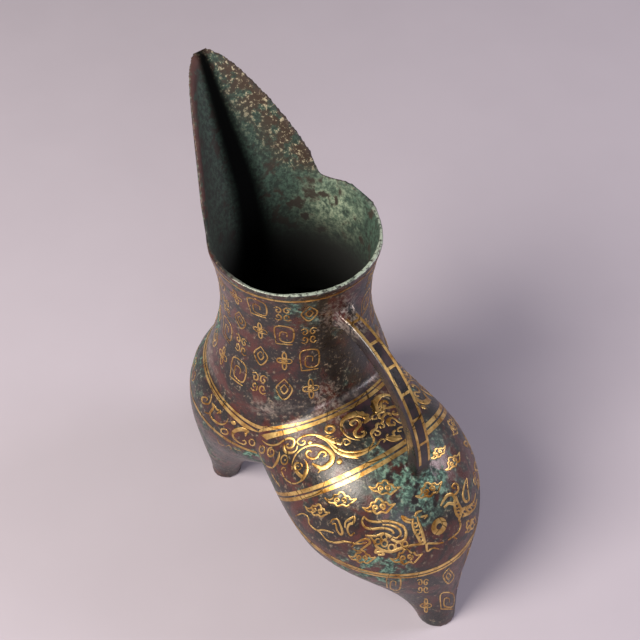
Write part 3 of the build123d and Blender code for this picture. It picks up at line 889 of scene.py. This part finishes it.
# Curls of the front legs: a claw-like curl, rings and small curls under the hem on both legs, with a
# shoulder curl and a long hook on the near one, laid in gold like the scrolls.
CURL_STROKES = {
    "shoulder_curl": ([0.4, 0.6, 0.7, 0.6, 0.5, 0.4], [
        (206.5, 391.5), (207.5, 388.5), (205.5, 386.5), (202.5, 388), (201.5, 392), (203.5, 396),
        (208, 395.5), (210, 392), (211, 387), (211.5, 380)]),
    "hook": ([0.5, 0.7, 0.6, 0.6, 0.8, 0.9, 0.9, 0.9, 0.7, 0.4, 0.15], [
        (217, 406), (218.5, 404), (220.5, 404), (220, 401.5), (217, 400.5), (215, 397), (212.5, 393.5),
        (213.5, 399), (211.5, 404), (210, 409.5), (212, 415.5), (216.5, 419.5), (222, 420.5), (226.5, 416),
        (228, 410)]),
    "hook_spur": ([0.2, 0.5, 0.5], [(204, 408.5), (207.5, 409.5), (210.5, 408.5)]),
    "claw_curl": ([0.4, 1.3, 1.5, 1.1, 0.8, 0.6, 0.5, 0.4], [
        (246, 425), (248, 421), (241.5, 420.5), (235.5, 424.5), (232.5, 430.5), (234, 436), (238.5, 440.5),
        (243.5, 442), (246, 439), (245, 436), (242.5, 437)]),
    "claw_spur": ([1.1, 0.2], [(246, 424.5), (245.5, 429.5)]),
    "foot_curl_1": ([0.2, 0.3, 0.2], [(217.5, 443), (218.5, 448), (221.5, 451), (224, 450)]),
    "foot_curl_2": ([0.2, 0.3, 0.2], [(226, 451), (229.5, 448.5), (231.5, 452.5), (230, 454.5)]),
    "foot_curl_3": ([0.2, 0.3, 0.2], [(233.5, 451), (237.5, 452.5), (241.5, 451.5)]),
}
CURL_RINGS = [((224.5, 430), 3.6, 3.8, 0.5), ((252, 436), 2.7, 4.6, 0.45)]
CURL_DOTS = [((233.5, 414), 1.4)]
FRONT_HEM = ((200, 415.5), (236.5, 444))
FRONT_SQUEEZE = 0.68
FRONT_TWINS_FROM = 0
NEAR_SIDE_ONLY = ("shoulder_curl", "hook", "hook_spur")
lone_strokes = [CURL_STROKES[name] for name in NEAR_SIDE_ONLY]
curl_strokes = [stroke for name, stroke in CURL_STROKES.items() if name not in NEAR_SIDE_ONLY]
curl_strokes += [ring_stroke(*ring) for ring in CURL_RINGS]
curl_strokes += [dot_stroke(*dot) for dot in CURL_DOTS]
curls = drawn(between_lines(curl_strokes, FRONT_HEM, FRONT_HEM, FRONT_SQUEEZE))
lone = drawn(between_lines(lone_strokes, FRONT_HEM, FRONT_HEM, FRONT_SQUEEZE))
inlay("front_leg_curls", curls + far_side(curls, FRONT_TWINS_FROM) + lone)

# Neck ornament: four rows of small gold figures round the neck, a squared spiral, four hooks, a nested
# lozenge and a rosette in turn, laid in fine wire. A figure's shape is given in half sizes.
FIGURE_WIDTH = 4.4
FIGURE_HEIGHT = 6.6
FIGURE_HALVES = [0.25, 0.38, 0.38, 0.25]
FIGURE_STEP = 0.7
SQUARED_SPIRAL = [(-1, -1), (-1, 1), (1, 1), (1, -0.6), (-0.4, -0.6), (-0.4, 0.4), (0.35, 0.4), (0.35, -0.1)]
SPIRAL_FOOT = [(-1, -1), (1, -1)]
HOOK_AT = (0.52, 0.45)
HOOK_RADIUS = 0.5
HOOK_START = 0.5
HOOK_TURNS = -1.4
FLIPS = [(1, 1), (-1, 1), (1, -1), (-1, -1)]
OUTER_LOZENGE = [(0, 1), (0.9, 0), (0, -1), (-0.9, 0), (0, 1)]
INNER_LOZENGE = [(0, 0.45), (0.4, 0), (0, -0.45), (-0.4, 0), (0, 0.45)]
ROSETTE_RADIUS = 0.62
ROSETTE_SWELL = 0.3
ROSETTE_PETALS = 4
ROSETTE_KNOTS = 33
ROSETTE_HEART = 0.35
NECK_ROWS = [188, 169, 150, 131]
NECK_COLUMNS = 20
NECK_ROW_SHIFT = 3
NECK_RADIUS = 42
HANDLE_CLEAR = 20
CAST_RADIUS = 80 * MM
hook = curl_knots(HOOK_AT, HOOK_RADIUS, HOOK_START, HOOK_TURNS)
petal_turns = np.linspace(0, 2 * math.pi, ROSETTE_KNOTS)
petal_reach = ROSETTE_RADIUS + ROSETTE_SWELL * np.cos(ROSETTE_PETALS * petal_turns)
rosette = np.stack([petal_reach * np.cos(petal_turns), petal_reach * np.sin(petal_turns)], 1)
FIGURES = [
    [SQUARED_SPIRAL, SPIRAL_FOOT],
    [hook * flip for flip in FLIPS],
    [OUTER_LOZENGE, INNER_LOZENGE],
    [rosette, rosette * ROSETTE_HEART],
]


def round_neck(angle, height):
    """Place seen from outside at degrees from the handle and a height in mm, and the way it faces."""
    away = Vector((math.cos(math.radians(angle)), math.sin(math.radians(angle)), 0))
    start = Vector((NECK_AXIS_X, 0, height * MM)) + away * CAST_RADIUS
    place, way, _, _ = bronze_skin.ray_cast(start, -away)
    return place, way


def figure_runs(shape, width, tall, angle, height, radius):
    """Runs of one stroke of a figure, its half sizes in mm, set at an angle and a height."""
    line = smooth_line(np.multiply(shape, [width, tall]), FIGURE_STEP)
    return laid(FIGURE_HALVES, line / [math.radians(radius), 1] + [angle, height], round_neck)


figures = []
for column in range(NECK_COLUMNS):
    angle = (column + 0.5) * 360 / NECK_COLUMNS
    if min(angle, 360 - angle) < HANDLE_CLEAR:
        continue
    for row, height in enumerate(NECK_ROWS):
        for shape in FIGURES[(column + row * NECK_ROW_SHIFT) % len(FIGURES)]:
            figures += figure_runs(shape, FIGURE_WIDTH, FIGURE_HEIGHT, angle, height, NECK_RADIUS)
inlay("neck_ornament", figures)

# Front band: the curls of the two front legs go on round the front as double curls and rings in turn,
# in the same gold between the collar and the hem.
FRONT_BAND_START = 96
FRONT_BAND_END = 236
FRONT_BAND_STEP = 14
FRONT_BAND_HEIGHT = 98
FRONT_CURL_WIDTH = 6.4
FRONT_CURL_HEIGHT = 5.2
FRONT_RADIUS = 54
FRONT_RING_SHARE = 0.45
HALF_CURL = np.array([(0.1, 0.52), (-0.3, 0.45), (-0.4, 0.75), (0.15, 0.97), (0.75, 0.72), (0.55, 0.25)])
DOUBLE_CURL = np.vstack([HALF_CURL, -HALF_CURL[::-1]])[:, ::-1]
ring_turns = np.linspace(0, 2 * math.pi, RING_KNOTS)
front_ring = FRONT_RING_SHARE * np.stack([np.cos(ring_turns), np.sin(ring_turns)], 1)
band = []
for number, angle in enumerate(range(FRONT_BAND_START, FRONT_BAND_END + 1, FRONT_BAND_STEP)):
    shape = front_ring if number % 2 else DOUBLE_CURL * [1 if angle < 180 else -1, 1]
    band += figure_runs(shape, FRONT_CURL_WIDTH, FRONT_CURL_HEIGHT, angle, FRONT_BAND_HEIGHT, FRONT_RADIUS)
inlay("front_band", band)

# Foot ornament: a few of the same small figures on the foot of the rear leg, below its hem,
# laid in the same fine gold wire.
FOOT_FIGURE_PIXELS = 7.5
FOOT_FIGURE_SLIMNESS = 0.8
FOOT_FIGURES_AT = {
    "left": (393.5, 584.5),
    "middle": (423, 586),
    "right": (448.5, 576),
    "low_middle": (426, 605.5),
    "low_right": (447, 601.5),
}
FOOT_TWINS_FROM = 6 * MM
foot_figure_size = [FOOT_FIGURE_PIXELS * FOOT_FIGURE_SLIMNESS, -FOOT_FIGURE_PIXELS]
foot_figures = []
for number, centre in enumerate(FOOT_FIGURES_AT.values()):
    for shape in FIGURES[number % len(FIGURES)]:
        foot_figures += drawn([(FIGURE_HALVES, np.array(centre) + np.multiply(shape, foot_figure_size))])
inlay("foot_ornament", foot_figures + far_side(foot_figures, FOOT_TWINS_FROM))

# Stage: a sheet of pale matt paper on the floor that fades into a pale room, and three soft round lamps
# in the room: a warm one in front, a cool one behind and a weak one on the handle's side.
FLOOR_SIZE = 6.0
FLOOR_FADE = (0.5, 1.8)
PAPER_CLOUDS_MM = 60
PAPER_DARK = "#c1bac5"
PAPER_LIGHT = "#c7c0cb"
PAPER_ROUGHNESS = 0.8
ROOM_COLOUR = "#c9c5cc"
ROOM_LIGHT = 0.22
ROOM_SHOWN = 0.56
BELLY = Vector((0, 0, 0.12))
# Place in m, width in m, power in W and colour of each lamp
LAMPS = {
    "key_lamp": ((-0.05, -1.05, 1.1), 0.8, 26, "#fff6ea"),
    "rim_lamp": ((0.55, 1.05, 0.8), 0.6, 7, "#fdf6ff"),
    "fill_lamp": ((1.2, -0.6, 0.6), 0.8, 4, "#f4f0ff"),
}
NEAREST_SEEN = 10 * MM


def shown(tree):
    """1 for rays from the camera or off a glossy or clear surface, which see the pale room, else 0."""
    rays = add(tree, "ShaderNodeLightPath").outputs
    direct = add(tree, "ShaderNodeMath", {
        0: rays["Is Camera Ray"], 1: rays["Is Glossy Ray"]}, operation="MAXIMUM").outputs[0]
    return add(tree, "ShaderNodeMath", {
        0: direct, 1: rays["Is Transmission Ray"]}, operation="MAXIMUM").outputs[0]


def pale_floor():
    """Matt paper with faint clouds in it, that goes over into the room's colour away from the vessel."""
    made, tree = new_material("pale_paper")
    place = add(tree, "ShaderNodeTexCoord").outputs["Object"]
    clouding = add(tree, "ShaderNodeTexNoise", {
        "Vector": place, "Scale": per_metre(PAPER_CLOUDS_MM), "Detail": 3}).outputs["Fac"]
    colour = add(tree, "ShaderNodeMix", {
        "Factor": clouding, 6: linear(PAPER_DARK), 7: linear(PAPER_LIGHT)}, data_type="RGBA").outputs[2]
    paper = add(tree, "ShaderNodeBsdfPrincipled", {"Base Color": colour, "Roughness": PAPER_ROUGHNESS})
    room_shade = add(tree, "ShaderNodeEmission", {"Color": linear(ROOM_COLOUR), "Strength": ROOM_SHOWN})
    distance = add(tree, "ShaderNodeVectorMath", {0: place}, operation="LENGTH").outputs["Value"]
    away = add(tree, "ShaderNodeMapRange", {
        "Value": distance, "From Min": FLOOR_FADE[0], "From Max": FLOOR_FADE[1]},
        interpolation_type="SMOOTHSTEP").outputs["Result"]
    share = add(tree, "ShaderNodeMath", {0: away, 1: shown(tree)}, operation="MULTIPLY").outputs[0]
    shader = add(tree, "ShaderNodeMixShader", {0: share, 1: paper.outputs[0], 2: room_shade.outputs[0]})
    add(tree, "ShaderNodeOutputMaterial", {"Surface": shader.outputs[0]})
    return made


half = FLOOR_SIZE / 2
corners = [(-half, -half, 0), (half, -half, 0), (half, half, 0), (-half, half, 0)]
floor_mesh = bpy.data.meshes.new("floor")
floor_mesh.from_pydata(corners, [], [(0, 1, 2, 3)])
floor = bpy.data.objects.new("floor", floor_mesh)
bpy.context.scene.collection.objects.link(floor)
floor_mesh.materials.append(pale_floor())

for name, (place, width, power, colour) in LAMPS.items():
    lamp = bpy.data.lights.new(name, "AREA")
    lamp.shape = "DISK"
    lamp.size = width
    lamp.energy = power
    lamp.color = linear(colour)[:3]
    holder = bpy.data.objects.new(name, lamp)
    holder.location = place
    holder.rotation_euler = (BELLY - Vector(place)).to_track_quat("-Z", "Y").to_euler()
    bpy.context.scene.collection.objects.link(holder)

world = bpy.data.worlds.new("studio")
bpy.context.scene.world = world
world.use_nodes = True
level = add(world.node_tree, "ShaderNodeMix", {
    "Factor": shown(world.node_tree), 2: ROOM_LIGHT, 3: ROOM_SHOWN}, data_type="FLOAT")
room = world.node_tree.nodes["Background"]
room.inputs["Color"].default_value = linear(ROOM_COLOUR)
world.node_tree.links.new(level.outputs[0], room.inputs["Strength"])

camera_data = bpy.data.cameras.new("photo_camera")
camera_data.lens = camera_data.sensor_width / 2 / math.tan(FIELD_OF_VIEW / 2)
camera_data.clip_start = NEAREST_SEEN
camera = bpy.data.objects.new("photo_camera", camera_data)
camera.location = EYE
camera.rotation_euler = VIEW_TURN.to_euler()
bpy.context.scene.collection.objects.link(camera)
bpy.context.scene.camera = camera

bpy.context.scene.view_settings.view_transform = "Standard"
